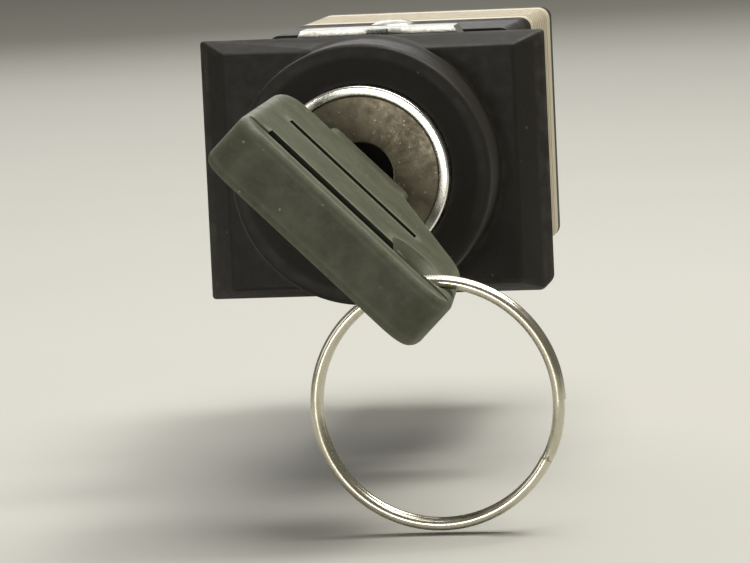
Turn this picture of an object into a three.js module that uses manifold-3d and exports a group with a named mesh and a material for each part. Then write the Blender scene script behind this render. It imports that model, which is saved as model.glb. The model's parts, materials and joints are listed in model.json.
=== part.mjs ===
// Key-operated selector switch for a round panel hole, with its key and key ring.
// Millimetres. +Z is up, +X is to the right and the front faces -Y. The origin is the centre of the
// panel hole on the panel's front face. Inside the `front` group, x is right, y is up and z is the height
// in front of the panel, so everything behind the panel has a negative z.
import * as THREE from "three";
import { mergeVertices } from "three/addons/utils/BufferGeometryUtils.js";
import Module from "manifold-3d";

const wasm = await Module();
wasm.setup();

// ---- Driving dimensions ----
const DEG = Math.PI / 180;
const FIT = 0.05; // gap between fixed pieces that touch
const RUN = 0.1; // gap between pieces that move past each other
const FINE = 48; // facets on a full circle of the pieces that turn in each other
const ROUND = 32; // facets on a full circle of the other large pieces
const SMALL = 16; // facets on a small pin or screw

// Panel hole and bezel
const holeDiameter = 16;
const holeClearance = 0.1;
const bezelOverlap = 1; // land of the flange above and below the hole
const bezelShoulder = 3; // extra flange at each side
const flangeHeight = 2.4;
const flangeSideSlope = 1.9;
const flangeTopSlope = 0.8;
const cornerCut = 1.3;
const bossHeight = 7.5;
const bossInset = 0.1;
const bossEdge = 0.45;
const dishDepth = 0.5;
const gasketThickness = 0.5;
const gasketMargin = 0.5; // flange rim left around the gasket
const gasketNeck = 0.45; // step in from the barrel that the gasket sits on
const panelThickness = 2;
const threadLength = 8;
const threadPitch = 1;
const threadDepth = 0.5;
const washerThickness = 0.6;
const washerBand = 1.3;
const washerTeeth = 12;
const toothGap = 0.7; // wide, and 1 mm deep
const nutThickness = 3;
const nutWall = 1.4; // at the flats
const nutChamfer = 0.7;

// Lock
const rimRadius = 6.1;
const rimWidth = 0.65;
const rimHeight = 8.1;
const plugSetback = 0.35; // plug face behind the rim
const plugStep = 0.2; // head of the plug over its body
const plugEdge = 0.2;
const headLength = 1.2;
const rimEdge = 0.2; // rounding outside the rim
const rimInnerEdge = 0.12;
const shellStepDepth = 5; // behind the panel, where the shell grows
const tailWall = 0.65;
const shellRear = 13; // behind the panel
const waferCount = 4;
const waferThickness = 0.8;
const waferPitch = 3.6;
const waferFirst = 3.2; // height of the first wafer in front of the panel
const waferWidth = 4.6;
const wallOverKeyway = 0.45; // wafer web beside the blade
const clipThickness = 0.6;
const clipNeckRadius = 3.4;
const clipMargin = 0.7; // outside of the clip to the outside of the shell
const clipMouth = 4;
const tailSquare = 4;
const waferGroove = 0.35; // how far the groove for thrown wafers is cut into the shell
const springPocket = 1.3;

// Key
const mouthRadius = 2.35; // round mouth of the keyway
const mouthDepth = 2.6;
const keyAngle = 45; // bow's fall from horizontal at rest, towards the lower right
const bladeWidth = 5.6;
const bladeThickness = 1.5;
const bladeDepth = 20; // into the plug
const bladeInBow = 9;
const biteLeast = 0.4; // shallowest cut in the blade's edges
const biteStep = 0.3;
const tipBevel = 1.3;
const millFrom = 0.5; // long grooves in the blade's sides
const millTo = 1.4;
const millDepth = 0.3;
const bowLeft = 6.9; // from the lock axis, on the high side
const bowFlare = 0.4; // the high side leans out this much by its lower corner
const bowRight = 10.9; // from the lock axis, on the eye side
const bowThickness = 4.1;
const bowTop = 32.6; // in front of the panel
const bowBase = 13.6;
const bowBaseLeft = 4.9;
const bowBaseRight = 3.6;
const bowShoulder = 6; // height of the sloped corner on the eye side
const bowShoulderIn = 1; // how far that corner's top is inside bowRight
const bowEdge = 0.5;
const bowCorner = 2.4;
const bowBar = 2.1; // height of the lowered bar along the outer edge
const webWall = 0.25; // left beside the blade under the grooves
const panelStart = -5;
const panelEnd = 6;
const panelWidth = 6.6;
const panelGroove = 1.1;
const barBelowFlank = 0.15; // the bar is thinner than the panels by this on each flank
const neckWall = 0.75; // around the blade
const neckEnd = 8.6;
const eyeAlong = 7.57;
const eyeHeight = 28.2;
const eyeRadius = 1.6;
const eyeFlare = 0.9; // the eye widens this much towards each flank
const eyeFlareDepth = 0.85;

// Key ring
const ringRadius = 7.75; // to the middle of the wire
const ringWire = 0.75;
const ringStack = 1.5; // two turns
const ringAcross = -3.75; // ring centre to the bow's middle plane

// Switching mechanism
const turn = 90;
const stroke = 1.8;
const camThickness = 2.4;
const camRadius = 6.5;
const camLug = 0.7;
const camLugHalf = 7; // degrees
const camScrewHead = 1.1; // height
const camScrewRadius = 1;
const notchDepth = 0.25;
const rampHalf = 1.2; // half the width of a ramp
const rampStart = 0.45;
const rampMargin = 12; // degrees past each end of the travel
const ballRadius = 0.8;
const detentSpringLength = 1.8;
const blockWall = 1.2;
const blockEdge = 0.8;
const adapterFront = 8.5; // behind the panel
const screwInset = 1.3; // block screws from two sides of the block
const screwRadius = 0.75;
const screwHole = 0.9; // radius
const clampHeadRadius = 1.6;
const clampHeadHeight = 0.7;
const plungerAt = 4.3; // plunger axes left and right of the lock axis
const plungerRadius = 1.1;
const cavityHalfX = 3.2; // half the width of a contact cavity
const plungerWall = 1.5; // half the depth of the plunger's frame
const frontWall = 1.2;
const coverThickness = 1.2;
const windowLength = 4.95;
const bridgeThickness = 0.4;
const bridgeWidth = 2;
const bridgeHalf = 4.7;
const tipAt = 3.9;
const tipRadius = 0.7;
const tipThickness = 0.35;
const stripThickness = 0.5;
const stripWidth = 2.4;
const stripAt = 5.2;
const tabLength = 4.8;
const tabRelief = 0.1; // the tab behind the cover is coined this much thinner on its outer face
const tabShoulder = 0.4; // behind the cover, where that starts
const tabEye = 0.6; // radius

// ---- Derived places ----
const barrelRadius = holeDiameter / 2 - holeClearance;
const bezelHeight = holeDiameter + 2 * bezelOverlap;
const bezelWidth = bezelHeight + 2 * bezelShoulder;
const bossRadius = bezelHeight / 2 - bossInset;
const tailRadius = barrelRadius - threadDepth - 0.1;
const shellRadius = tailRadius - tailWall - FIT;
const plugHeadRadius = rimRadius - rimWidth - FIT;
const plugRadius = plugHeadRadius - plugStep;
const plugFace = rimHeight - plugSetback;
const plugRear = -shellRear - RUN;
const clipRear = plugRear - clipThickness - 2 * FIT;
const chamberFront = clipRear - 0.5;
const camFront = chamberFront - RUN * 3;
const camRear = camFront - camThickness;
const chamberRadius = camRadius + 0.35;
const lugRadius = camRadius + camLug;
const stopRadius = lugRadius + 0.3;
const blockRoom = Math.max(tailRadius + 0.1, stopRadius - 0.1, plungerAt + cavityHalfX);
const blockHalf = blockWall + blockRoom;
const screwAt = blockHalf - screwInset;
const rampEnd = rampStart + stroke * ((turn + rampMargin) / turn);
const caseFront = camRear - rampEnd - 1;
const wallRear = caseFront - frontWall;
const tipGap = 0.15; // plunger tip to ramp, along the axis
const plungerTop = camRear - rampStart - tipGap;
const collarFront = wallRear - 0.3;
const collarThickness = 0.9;
const collarRadius = 1.9;
const windowFront = collarFront - collarThickness - 0.5;
const windowRear = windowFront - windowLength;
const plungerRear = windowRear - 0.85;
const tailPin = 1.2;
const tailPinRadius = 0.7;
const springRoom = 3.2;
const coverFront = plungerRear - springRoom;
const coverRear = coverFront - FIT - coverThickness;
const plungerHalf = bridgeWidth / 2 + 0.8;
const cavityHalf = stripAt + stripThickness / 2 + 0.4;
const ballAt = camRadius + FIT + ballRadius;
const bladeTip = plugFace - bladeDepth;

// ---- Solids ----
function solid(geometry) {
  const bare = new THREE.BufferGeometry();
  bare.setAttribute("position", geometry.getAttribute("position"));
  bare.setIndex(geometry.index);
  const merged = mergeVertices(bare, 1e-4);
  const index = merged.index.array;
  const kept = [];
  for (let i = 0; i < index.length; i += 3) {
    const [a, b, c] = [index[i], index[i + 1], index[i + 2]];
    if (a !== b && b !== c && c !== a) kept.push(a, b, c);
  }
  const build = (triangles) =>
    new wasm.Manifold(
      new wasm.Mesh({
        numProp: 3,
        vertProperties: new Float32Array(merged.attributes.position.array),
        triVerts: new Uint32Array(triangles),
      }),
    );
  const made = build(kept);
  return made.volume() > 0 ? made : build(kept.reverse());
}

function geometryOf(body) {
  const mesh = body.getMesh();
  const geometry = new THREE.BufferGeometry();
  geometry.setAttribute("position", new THREE.BufferAttribute(mesh.vertProperties, 3));
  geometry.setIndex(new THREE.BufferAttribute(mesh.triVerts, 1));
  const flat = geometry.toNonIndexed();
  flat.computeVertexNormals();
  return flat;
}

const join = (...bodies) => bodies.flat().reduce((sum, body) => sum.add(body));
const cut = (body, ...tools) => tools.flat().reduce((left, tool) => left.subtract(tool), body);

// Profile points are [radius, z]; the axis is z.
function turned(points, segments = ROUND) {
  const profile = points.map(([r, z]) => new THREE.Vector2(r, z));
  const ends = [profile[0], profile[profile.length - 1]];
  if (ends.some((p) => p.x > 0)) profile.push(profile[0].clone());
  const geometry = new THREE.LatheGeometry(profile, segments);
  geometry.rotateX(Math.PI / 2);
  return solid(geometry);
}

const rod = (radius, z0, z1, segments = ROUND) =>
  turned([[0, z0], [radius, z0], [radius, z1], [0, z1]], segments);

const tube = (inner, outer, z0, z1, segments = ROUND) =>
  turned([[inner, z0], [outer, z0], [outer, z1], [inner, z1]], segments);

function block(x0, x1, y0, y1, z0, z1) {
  const geometry = new THREE.BoxGeometry(Math.abs(x1 - x0), Math.abs(y1 - y0), Math.abs(z1 - z0));
  geometry.translate((x0 + x1) / 2, (y0 + y1) / 2, (z0 + z1) / 2);
  return solid(geometry);
}

// A ring sector whose far face may climb like a helix: lift(angle in degrees) gives its z.
function sector(inner, outer, from, to, base, lift, steps = 12) {
  const geometry = new THREE.BoxGeometry(1, 1, 1, steps, 1, 1);
  const place = geometry.getAttribute("position");
  for (let i = 0; i < place.count; i++) {
    const angle = from + (place.getX(i) + 0.5) * (to - from);
    const radius = place.getY(i) > 0 ? inner : outer;
    const z = place.getZ(i) > 0 ? lift(angle) : base;
    place.setXYZ(i, radius * Math.cos(angle * DEG), radius * Math.sin(angle * DEG), z);
  }
  return solid(geometry);
}

function roundedRectangle(halfX, halfY, radius) {
  const shape = new THREE.Shape();
  shape.moveTo(halfX, -halfY + radius);
  shape.lineTo(halfX, halfY - radius);
  shape.absarc(halfX - radius, halfY - radius, radius, 0, 90 * DEG);
  shape.absarc(-halfX + radius, halfY - radius, radius, 90 * DEG, 180 * DEG);
  shape.absarc(-halfX + radius, -halfY + radius, radius, 180 * DEG, 270 * DEG);
  shape.absarc(halfX - radius, -halfY + radius, radius, 270 * DEG, 360 * DEG);
  return shape;
}

function prism(shape, z0, z1, curveSegments = 3) {
  const geometry = new THREE.ExtrudeGeometry(shape, {
    depth: Math.abs(z1 - z0),
    bevelEnabled: false,
    curveSegments,
  });
  geometry.translate(0, 0, Math.min(z0, z1));
  return solid(geometry);
}

// A coil spring along z, with flat-cut ends.
class Helix extends THREE.Curve {
  constructor(radius, length, turns) {
    super();
    Object.assign(this, { radius, length, turns });
  }
  getPoint(t, target = new THREE.Vector3()) {
    const angle = t * this.turns * 2 * Math.PI;
    return target.set(this.radius * Math.cos(angle), this.radius * Math.sin(angle), t * this.length);
  }
}

function coil(radius, wire, z0, z1, turns, sides = 3, stepsPerTurn = 8) {
  const section = new THREE.Shape();
  section.absarc(0, 0, wire / 2, 0, 360 * DEG);
  const low = Math.min(z0, z1) + wire * 0.6;
  const high = Math.max(z0, z1) - wire * 0.6;
  const geometry = new THREE.ExtrudeGeometry(section, {
    steps: Math.round(turns * stepsPerTurn),
    curveSegments: sides,
    extrudePath: new Helix(radius - wire / 2, high - low, turns),
  });
  geometry.translate(0, 0, low);
  return solid(geometry);
}

// ---- Materials ----
function finish(color, roughness, metalness) {
  return new THREE.MeshStandardMaterial({ color, roughness, metalness });
}

const blackPlastic = finish(0x24211f, 0.55, 0);
const rubber = finish(0x1b1b1b, 0.85, 0);
const nickel = finish(0xc9c6bd, 0.25, 1);
const plugMetal = finish(0x8f8677, 0.45, 1);
const zincSteel = finish(0xa8a9a6, 0.4, 1);
const brass = finish(0xb89a52, 0.35, 1);
const silver = finish(0xd8d6d0, 0.3, 1);
const bowPlastic = finish(0x6b6e58, 0.5, 0);
const creamPlastic = finish(0xd9d2bd, 0.6, 0);
const redPlastic = finish(0x8c2f28, 0.55, 0);
const springSteel = finish(0x9a9c9e, 0.3, 1);

// ---- Scene graph ----
const object = new THREE.Group();
const front = new THREE.Group();
front.rotation.x = 90 * DEG;
object.add(front);
const plugGroup = new THREE.Group();
plugGroup.rotation.z = -keyAngle * DEG;
front.add(plugGroup);
const ringGroup = new THREE.Group();

function add(group, name, body, material, x = 0, y = 0, z = 0) {
  const mesh = new THREE.Mesh(geometryOf(body), material);
  mesh.name = name;
  mesh.position.set(x, y, z);
  group.add(mesh);
  return mesh;
}

// ---- Bezel case: sloped flange, round boss and threaded barrel in one moulding ----
function slopedFlange() {
  const geometry = new THREE.BoxGeometry(bezelWidth, bezelHeight, flangeHeight);
  geometry.translate(0, 0, flangeHeight / 2);
  const place = geometry.getAttribute("position");
  for (let i = 0; i < place.count; i++) {
    if (place.getZ(i) < flangeHeight / 2) continue;
    place.setX(i, place.getX(i) - Math.sign(place.getX(i)) * flangeSideSlope);
    place.setY(i, place.getY(i) - Math.sign(place.getY(i)) * flangeTopSlope);
  }
  const clip = new THREE.BoxGeometry(2 * cornerCut, 2 * cornerCut, 4 * flangeHeight);
  clip.rotateZ(45 * DEG);
  clip.translate(bezelWidth / 2 + cornerCut * 0.4, -bezelHeight / 2 - cornerCut * 0.4, 0);
  return cut(solid(geometry), solid(clip));
}

function barrelProfile() {
  const root = barrelRadius - threadDepth;
  const points = [[0, 0], [barrelRadius, 0]];
  for (let z = threadPitch; z <= threadLength - threadPitch; z += threadPitch) {
    points.push([barrelRadius, -z + threadPitch * 0.4], [root, -z]);
  }
  points.push([barrelRadius, -threadLength + threadPitch * 0.4], [tailRadius, -threadLength]);
  points.push([tailRadius, -shellRear], [0, -shellRear]);
  return points;
}

const gasketHalfX = bezelWidth / 2 - gasketMargin;
const gasketHalfY = bezelHeight / 2 - gasketMargin;
const neckRadius = barrelRadius - gasketNeck;
const dishInner = rimRadius + FIT;
const clampAt = (adapterFront + shellRear) / 2;
const clampNotch = 0.4;

function bezelCase() {
  const boss = turned([
    [0, flangeHeight / 2], [bossRadius, flangeHeight / 2], [bossRadius, bossHeight - bossEdge],
    [bossRadius - bossEdge * 0.3, bossHeight - bossEdge * 0.3], [bossRadius - bossEdge, bossHeight],
    [bossRadius - 2 * bossEdge, bossHeight], [dishInner, bossHeight - dishDepth],
    [0, bossHeight - dishDepth],
  ], FINE);
  const flange = cut(
    slopedFlange(),
    cut(
      block(-gasketHalfX, gasketHalfX, -gasketHalfY, gasketHalfY, -1, gasketThickness),
      rod(neckRadius, -2, 1),
    ),
  );
  const bore = turned([
    [0, -shellRear - 1], [shellRadius + FIT, -shellRear - 1], [shellRadius + FIT, -shellStepDepth],
    [dishInner, -shellStepDepth], [dishInner, bossHeight + 1], [0, bossHeight + 1],
  ]);
  const notch = tube(tailRadius - clampNotch, tailRadius + 1, -clampAt - 1, -clampAt + 1);
  return cut(join(flange, boss, turned(barrelProfile())), bore, notch);
}

add(front, "bezel_case", bezelCase(), blackPlastic);

function panelGasket() {
  const halfX = gasketHalfX - FIT;
  const halfY = gasketHalfY - FIT;
  return cut(block(-halfX, halfX, -halfY, halfY, FIT, gasketThickness - FIT), rod(neckRadius + FIT, -1, 1));
}

add(front, "panel_gasket", panelGasket(), rubber);

// ---- Fasteners behind the panel ----
const washerFront = -panelThickness - FIT;
const nutFront = washerFront - washerThickness - FIT;

function toothedWasher() {
  const outer = barrelRadius + FIT + washerBand;
  const ring = tube(barrelRadius + FIT, outer, washerFront - washerThickness, washerFront);
  const gaps = [];
  for (let i = 0; i < washerTeeth; i++) {
    const gap = new THREE.BoxGeometry(toothGap, 1, 2);
    gap.translate(outer, 0, washerFront);
    gap.rotateZ((i * 360 * DEG) / washerTeeth);
    gaps.push(solid(gap));
  }
  return cut(ring, gaps);
}

function hexNut() {
  const corner = (2 * (barrelRadius + nutWall)) / Math.sqrt(3);
  const rear = nutFront - nutThickness;
  const hex = rod(corner, rear, nutFront, 6).rotate([0, 0, 30]);
  const chamfer = turned([
    [0, rear], [corner - nutChamfer, rear], [corner + 0.1, rear + nutChamfer * 0.7],
    [corner + 0.1, nutFront], [0, nutFront],
  ]);
  return cut(hex.intersect(chamfer), rod(barrelRadius + FIT, rear - 1, nutFront + 1));
}

add(front, "lock_washer", toothedWasher(), springSteel);
add(front, "mounting_nut", hexNut(), zincSteel);

// ---- Lock cylinder: fixed shell with the polished rim ----
const plugBore = plugRadius + FIT;
const headSeat = plugFace - headLength;

function lockShell() {
  const lip = rimRadius - rimWidth;
  const outer = turned([
    [0, -shellRear], [shellRadius, -shellRear], [shellRadius, -shellStepDepth - FIT],
    [rimRadius, -shellStepDepth - FIT], [rimRadius, rimHeight - rimEdge], [rimRadius - rimEdge, rimHeight],
    [lip + rimInnerEdge, rimHeight], [lip, rimHeight - rimInnerEdge],
    [lip, headSeat - FIT], [plugBore, headSeat - FIT], [plugBore, headSeat - 1], [0, headSeat - 1],
  ], FINE);
  const reach = plugBore + waferGroove;
  const halfY = waferWidth / 2 + 2 * RUN;
  const groove = block(-reach, reach, -halfY, halfY, -shellRear + 0.8, headSeat - 1.5)
    .intersect(rod(reach, -shellRear, rimHeight))
    .rotate([0, 0, -keyAngle]);
  return cut(outer, rod(plugBore, -shellRear - 1, headSeat - 0.5, FINE), groove);
}

add(front, "lock_cylinder", lockShell(), nickel);

// ---- Lock plug, wafers and clip. In the plug group, x runs along the key bow and y through it ----
const keywayHalfX = bladeWidth / 2 + RUN;
const keywayHalfY = bladeThickness / 2 + RUN;

function waferHeight(i) {
  return waferFirst - i * waferPitch;
}

function lockPlug() {
  const body = turned([
    [0, clipRear], [clipNeckRadius, clipRear], [clipNeckRadius, plugRear], [plugRadius, plugRear],
    [plugRadius, headSeat], [plugHeadRadius, headSeat], [plugHeadRadius, plugFace - plugEdge],
    [plugHeadRadius - plugEdge, plugFace], [0, plugFace],
  ], FINE);
  const halfTail = tailSquare / 2;
  const tail = block(-halfTail, halfTail, -halfTail, halfTail, camRear + RUN, clipRear + 0.1);
  const keyway = block(-keywayHalfX, keywayHalfX, -keywayHalfY, keywayHalfY, bladeTip - 0.4, plugFace + 1);
  const mouth = turned([
    [0, plugFace - mouthDepth], [mouthRadius - 0.15, plugFace - mouthDepth], [mouthRadius, plugFace + 0.01],
    [0, plugFace + 0.01],
  ], 24);
  const tapping = rod(camScrewRadius + 0.3, camRear - 1, camRear + camThickness, SMALL);
  const slots = [];
  for (let i = 0; i < waferCount; i++) {
    const z0 = waferHeight(i) - waferThickness / 2 - RUN;
    const z1 = waferHeight(i) + waferThickness / 2 + RUN;
    slots.push(block(-plugRadius - 1, plugRadius + 1, -waferWidth / 2 - RUN, waferWidth / 2 + RUN, z0, z1));
    slots.push(block(-2, 2, waferWidth / 2, waferWidth / 2 + springPocket, z0, z1));
  }
  return cut(join(body, tail), keyway, mouth, tapping, slots);
}

function wafer(i) {
  const z0 = waferHeight(i) - waferThickness / 2;
  const z1 = waferHeight(i) + waferThickness / 2;
  const disc = rod(plugRadius - 0.02, z0, z1, FINE);
  const halfWidth = waferWidth / 2;
  const plate = disc.intersect(block(-plugRadius, plugRadius, -halfWidth, halfWidth, z0 - 1, z1 + 1));
  const halfX = bladeWidth / 2 + wallOverKeyway;
  return cut(plate, block(-halfX, halfX, -keywayHalfY - RUN, keywayHalfY + RUN, z0 - 1, z1 + 1));
}

function waferSpring() {
  return coil(0.42, 0.16, -1.8, 1.8, 5, 2, 7).rotate([0, 90, 0]);
}

add(plugGroup, "lock_plug", lockPlug(), plugMetal);
for (let i = 0; i < waferCount; i++) {
  add(plugGroup, `wafer_${i + 1}`, wafer(i), brass);
  const across = waferWidth / 2 + RUN + 0.6;
  add(plugGroup, `wafer_spring_${i + 1}`, waferSpring(), springSteel, 0, across, waferHeight(i));
}

const clip = cut(
  tube(clipNeckRadius + FIT, shellRadius - clipMargin, plugRear - FIT - clipThickness, plugRear - FIT),
  block(-clipMouth / 2, clipMouth / 2, 0, shellRadius, plugRear - 2, plugRear + 1),
);
add(plugGroup, "plug_clip", clip, springSteel);

// ---- Drive cam: two helical ramps, a stop lug and two detent notches ----
function driveCam() {
  const disc = rod(camRadius, camRear, camFront, FINE);
  const lugSpan = [180 - camLugHalf, 180 + camLugHalf];
  const lug = sector(camRadius - 1, lugRadius, ...lugSpan, camRear, () => camFront, 3);
  const ramps = [keyAngle, keyAngle + 180].map((start) => {
    const climb = (angle) => camRear - rampStart - (stroke * (angle - start)) / turn;
    const span = [start - rampMargin, start + turn + rampMargin];
    return sector(plungerAt - rampHalf, plungerAt + rampHalf, ...span, camRear + 0.5, climb, 18);
  });
  const notches = [0, turn].map((angle) =>
    rod(ballRadius + 0.2, camRear - 1, camFront + 1, SMALL)
      .translate([ballAt - notchDepth, 0, 0])
      .rotate([0, 0, angle]));
  const half = tailSquare / 2 + FIT;
  const hole = block(-half, half, -half, half, camRear - 1, camFront + 1);
  return cut(join(disc, lug, ramps), notches, hole);
}

function slottedScrew(headRadius, headRear, headHeight, shankRadius, shankEnd) {
  const seat = headRear + headHeight;
  const edge = 0.3;
  const body = turned([
    [0, headRear], [headRadius - edge, headRear], [headRadius, headRear + edge], [headRadius, seat],
    [shankRadius, seat], [shankRadius, shankEnd - edge], [shankRadius - edge, shankEnd], [0, shankEnd],
  ], SMALL);
  return cut(body, block(-headRadius, headRadius, -0.2, 0.2, headRear - 1, headRear + headHeight / 2));
}

add(plugGroup, "drive_cam", driveCam(), redPlastic);
const camScrewEnd = camRear + camThickness - 0.4;
const camScrew = slottedScrew(
  plungerAt - rampHalf - 0.5, camRear - FIT - camScrewHead, camScrewHead, camScrewRadius, camScrewEnd);
add(plugGroup, "cam_screw", camScrew, zincSteel);

// ---- Key: metal blade and moulded bow ----
// A square bar across the blade, standing on its corner, that bites `depth` into one edge.
function edgeCut(side, depth, z, spread = 0.3) {
  const size = (depth + spread) * Math.SQRT2;
  const bar = new THREE.BoxGeometry(size, 3 * bladeThickness, size);
  bar.rotateY(45 * DEG);
  bar.translate(side * (bladeWidth / 2 + spread), 0, z);
  return solid(bar);
}

function blade() {
  const top = bowBase + bladeInBow;
  const halfX = bladeWidth / 2;
  const halfY = bladeThickness / 2;
  const cuts = [];
  for (let i = 0; i < waferCount; i++) {
    cuts.push(edgeCut(1, biteLeast + biteStep * (i % 3), waferHeight(i)));
    cuts.push(edgeCut(-1, biteLeast + biteStep * ((i + 2) % 3), waferHeight(i)));
  }
  const point = [-1, 1].map((side) => edgeCut(side, tipBevel, bladeTip - 0.2));
  const mill = block(millFrom, millTo, halfY - millDepth, 2 * halfY, bladeTip - 1, neckEnd + 2);
  const mills = [mill, mill.rotate([0, 0, 180])];
  return cut(block(-halfX, halfX, -halfY, halfY, bladeTip, top), cuts, point, mills);
}

// The bow's outline in x and height, drawn `inset` inside its real edge.
function bowOutline(inset) {
  const right = bowRight - inset;
  const left = -bowLeft + inset;
  const top = bowTop - inset;
  const base = bowBase + inset;
  const r = bowCorner;
  const slope = inset * 0.5;
  const shoulder = right - bowShoulderIn;
  const shoulderTop = base + bowShoulder;
  const shape = new THREE.Shape();
  shape.moveTo(bowBaseRight - slope, base);
  shape.lineTo(shoulder - 0.9, shoulderTop - 0.9 - slope);
  shape.quadraticCurveTo(shoulder, shoulderTop, shoulder + 0.2, shoulderTop + 1.4);
  shape.lineTo(right, top - r * 1.4);
  shape.quadraticCurveTo(right, top, right - r, top);
  shape.lineTo(left + r, top);
  shape.quadraticCurveTo(left, top, left, top - r);
  shape.lineTo(left - bowFlare, base + r * 1.5);
  shape.quadraticCurveTo(left - bowFlare, base, -bowBaseLeft + slope, base);
  return shape;
}

// Turns a drawing in x and height into a slab across y.
function upright(shape, halfY, options = {}) {
  const geometry = new THREE.ExtrudeGeometry(shape, { depth: 2 * halfY, bevelEnabled: false, ...options });
  geometry.translate(0, 0, -halfY);
  geometry.rotateX(90 * DEG);
  return solid(geometry);
}

// One flank's lowered bar, and the two deep grooves that part it into panels.
function flankCuts(side) {
  const reach = side * bowThickness;
  const floor = side * (bladeThickness / 2 + FIT + webWall);
  const barFace = side * (bowThickness / 2 - barBelowFlank);
  const top = bowTop - bowBar;
  const bar = block(-bowTop, bowTop, barFace, reach, top, bowTop + 1);
  const grooves = [top, top - panelGroove - panelWidth].map((high) =>
    block(panelStart, panelEnd, floor, reach, high - panelGroove, high));
  return [bar, ...grooves];
}

function bow() {
  const body = upright(bowOutline(bowEdge), bowThickness / 2 - bowEdge, {
    bevelEnabled: true, bevelThickness: bowEdge, bevelSize: bowEdge, bevelSegments: 3, curveSegments: 5,
  });
  const neckX = bladeWidth / 2 + neckWall;
  const neckY = bladeThickness / 2 + neckWall;
  const neck = block(-neckX, neckX, -neckY, neckY, neckEnd, bowBase + 2);
  const flank = bowThickness / 2;
  const wide = eyeRadius + eyeFlare;
  const waist = flank - eyeFlareDepth;
  const eye = turned([
    [0, -flank - 1], [wide, -flank - 1], [wide, -flank], [eyeRadius, -waist],
    [eyeRadius, waist], [wide, flank], [wide, flank + 1], [0, flank + 1],
  ], 20)
    .rotate([90, 0, 0])
    .translate([eyeAlong, 0, eyeHeight]);
  const halfX = bladeWidth / 2 + FIT;
  const halfY = bladeThickness / 2 + FIT;
  const socket = block(-halfX, halfX, -halfY, halfY, neckEnd - 1, bowBase + bladeInBow + FIT);
  return cut(join(body, neck), flankCuts(1), flankCuts(-1), eye, socket);
}

add(plugGroup, "key_blade", blade(), nickel);
add(plugGroup, "key_bow", bow(), bowPlastic);

// ---- Key ring: two turns of wire, drawn as one closed ring ----
ringGroup.position.set(eyeAlong, 0, eyeHeight);
plugGroup.add(ringGroup);
const ringReach = Math.sqrt(ringRadius ** 2 - ringAcross ** 2);

function keyRing() {
  const half = ringStack / 2;
  const profile = [];
  for (let i = 0; i < 8; i++) {
    const upper = i < 4;
    const angle = (upper ? i : i - 1) * 60 * DEG;
    const lift = (half - ringWire / 2) * (upper ? 1 : -1);
    profile.push([ringRadius + (ringWire / 2) * Math.cos(angle), lift + (ringWire / 2) * Math.sin(angle)]);
  }
  return turned(profile, 36);
}

add(ringGroup, "key_ring", keyRing(), nickel, ringReach, ringAcross, 0);

// ---- Block adapter: holds the cam chamber on the barrel's tail ----
const screwSpots = [[screwAt, screwAt], [-screwAt, -screwAt]];
const detentAngle = -keyAngle;
const screwTip = chamberFront + 1;
const camMiddle = (camFront + camRear) / 2;

function screwHoles(z0, z1) {
  return screwSpots.map(([x, y]) => rod(screwHole, z0, z1, SMALL).translate([x, y, 0]));
}

function blockAdapter() {
  const box = prism(roundedRectangle(blockHalf, blockHalf, blockEdge), caseFront + FIT, -adapterFront);
  const bore = turned([
    [0, -adapterFront + 1], [tailRadius + FIT, -adapterFront + 1], [tailRadius + FIT, -shellRear - FIT],
    [shellRadius - 0.4, -shellRear - FIT], [shellRadius - 0.4, chamberFront], [chamberRadius, chamberFront],
    [chamberRadius, caseFront - 1], [0, caseFront - 1],
  ], FINE);
  const middle = 180 - keyAngle - turn / 2;
  const swing = turn / 2 + camLugHalf + 1;
  const span = [middle - swing, middle + swing];
  const stops = sector(chamberRadius - 1, stopRadius, ...span, caseFront - 1, () => chamberFront + 0.2);
  const pocketEnd = ballAt + ballRadius + detentSpringLength + 0.15;
  const pocket = rod(ballRadius + FIT, chamberRadius - 1, pocketEnd, SMALL)
    .rotate([0, 90, 0])
    .rotate([0, 0, detentAngle])
    .translate([0, 0, camMiddle]);
  const clampHole = join(
    rod(screwHole, tailRadius - 1, blockHalf + 1, SMALL),
    rod(clampHeadRadius + 0.1, blockHalf - clampHeadHeight - 0.1, blockHalf + 1, SMALL),
  );
  const clamp = clampHole.rotate([-90, 0, 0]).translate([0, 0, -clampAt]);
  return cut(box, bore, stops, pocket, clamp, screwHoles(caseFront - 1, screwTip + 0.3));
}

add(front, "block_adapter", blockAdapter(), blackPlastic);

const clampReach = blockHalf - tailRadius + clampNotch - 0.1;
const clampScrew = slottedScrew(clampHeadRadius, -clampHeadHeight, clampHeadHeight, screwRadius, clampReach)
  .rotate([90, 0, 0]);
add(front, "clamp_screw", clampScrew, zincSteel, 0, blockHalf, -clampAt);

const ball = solid(new THREE.SphereGeometry(ballRadius - 0.02, 14, 8));
const ballX = ballAt * Math.cos(detentAngle * DEG);
const ballY = ballAt * Math.sin(detentAngle * DEG);
add(front, "detent_ball", ball, zincSteel, ballX, ballY, camMiddle);

const springFrom = ballAt + ballRadius + 0.02;
const detentSpring = coil(0.68, 0.2, springFrom, springFrom + detentSpringLength, 4)
  .rotate([0, 90, 0]).rotate([0, 0, detentAngle]);
add(front, "detent_spring", detentSpring, springSteel, 0, 0, camMiddle);

// ---- Contact block ----
function contactCase() {
  const box = prism(roundedRectangle(blockHalf, blockHalf, blockEdge), coverFront, caseFront);
  const sides = [plungerAt - cavityHalfX, plungerAt + cavityHalfX];
  const cavities = [-1, 1].map((side) =>
    block(side * sides[0], side * sides[1], -cavityHalf, cavityHalf, coverFront - 1, wallRear));
  const guides = [-1, 1].map((side) =>
    rod(plungerRadius + RUN, wallRear - 1, caseFront + 1, SMALL).translate([side * plungerAt, 0, 0]));
  return cut(box, cavities, guides, screwHoles(coverFront - 1, caseFront + 1));
}

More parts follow.
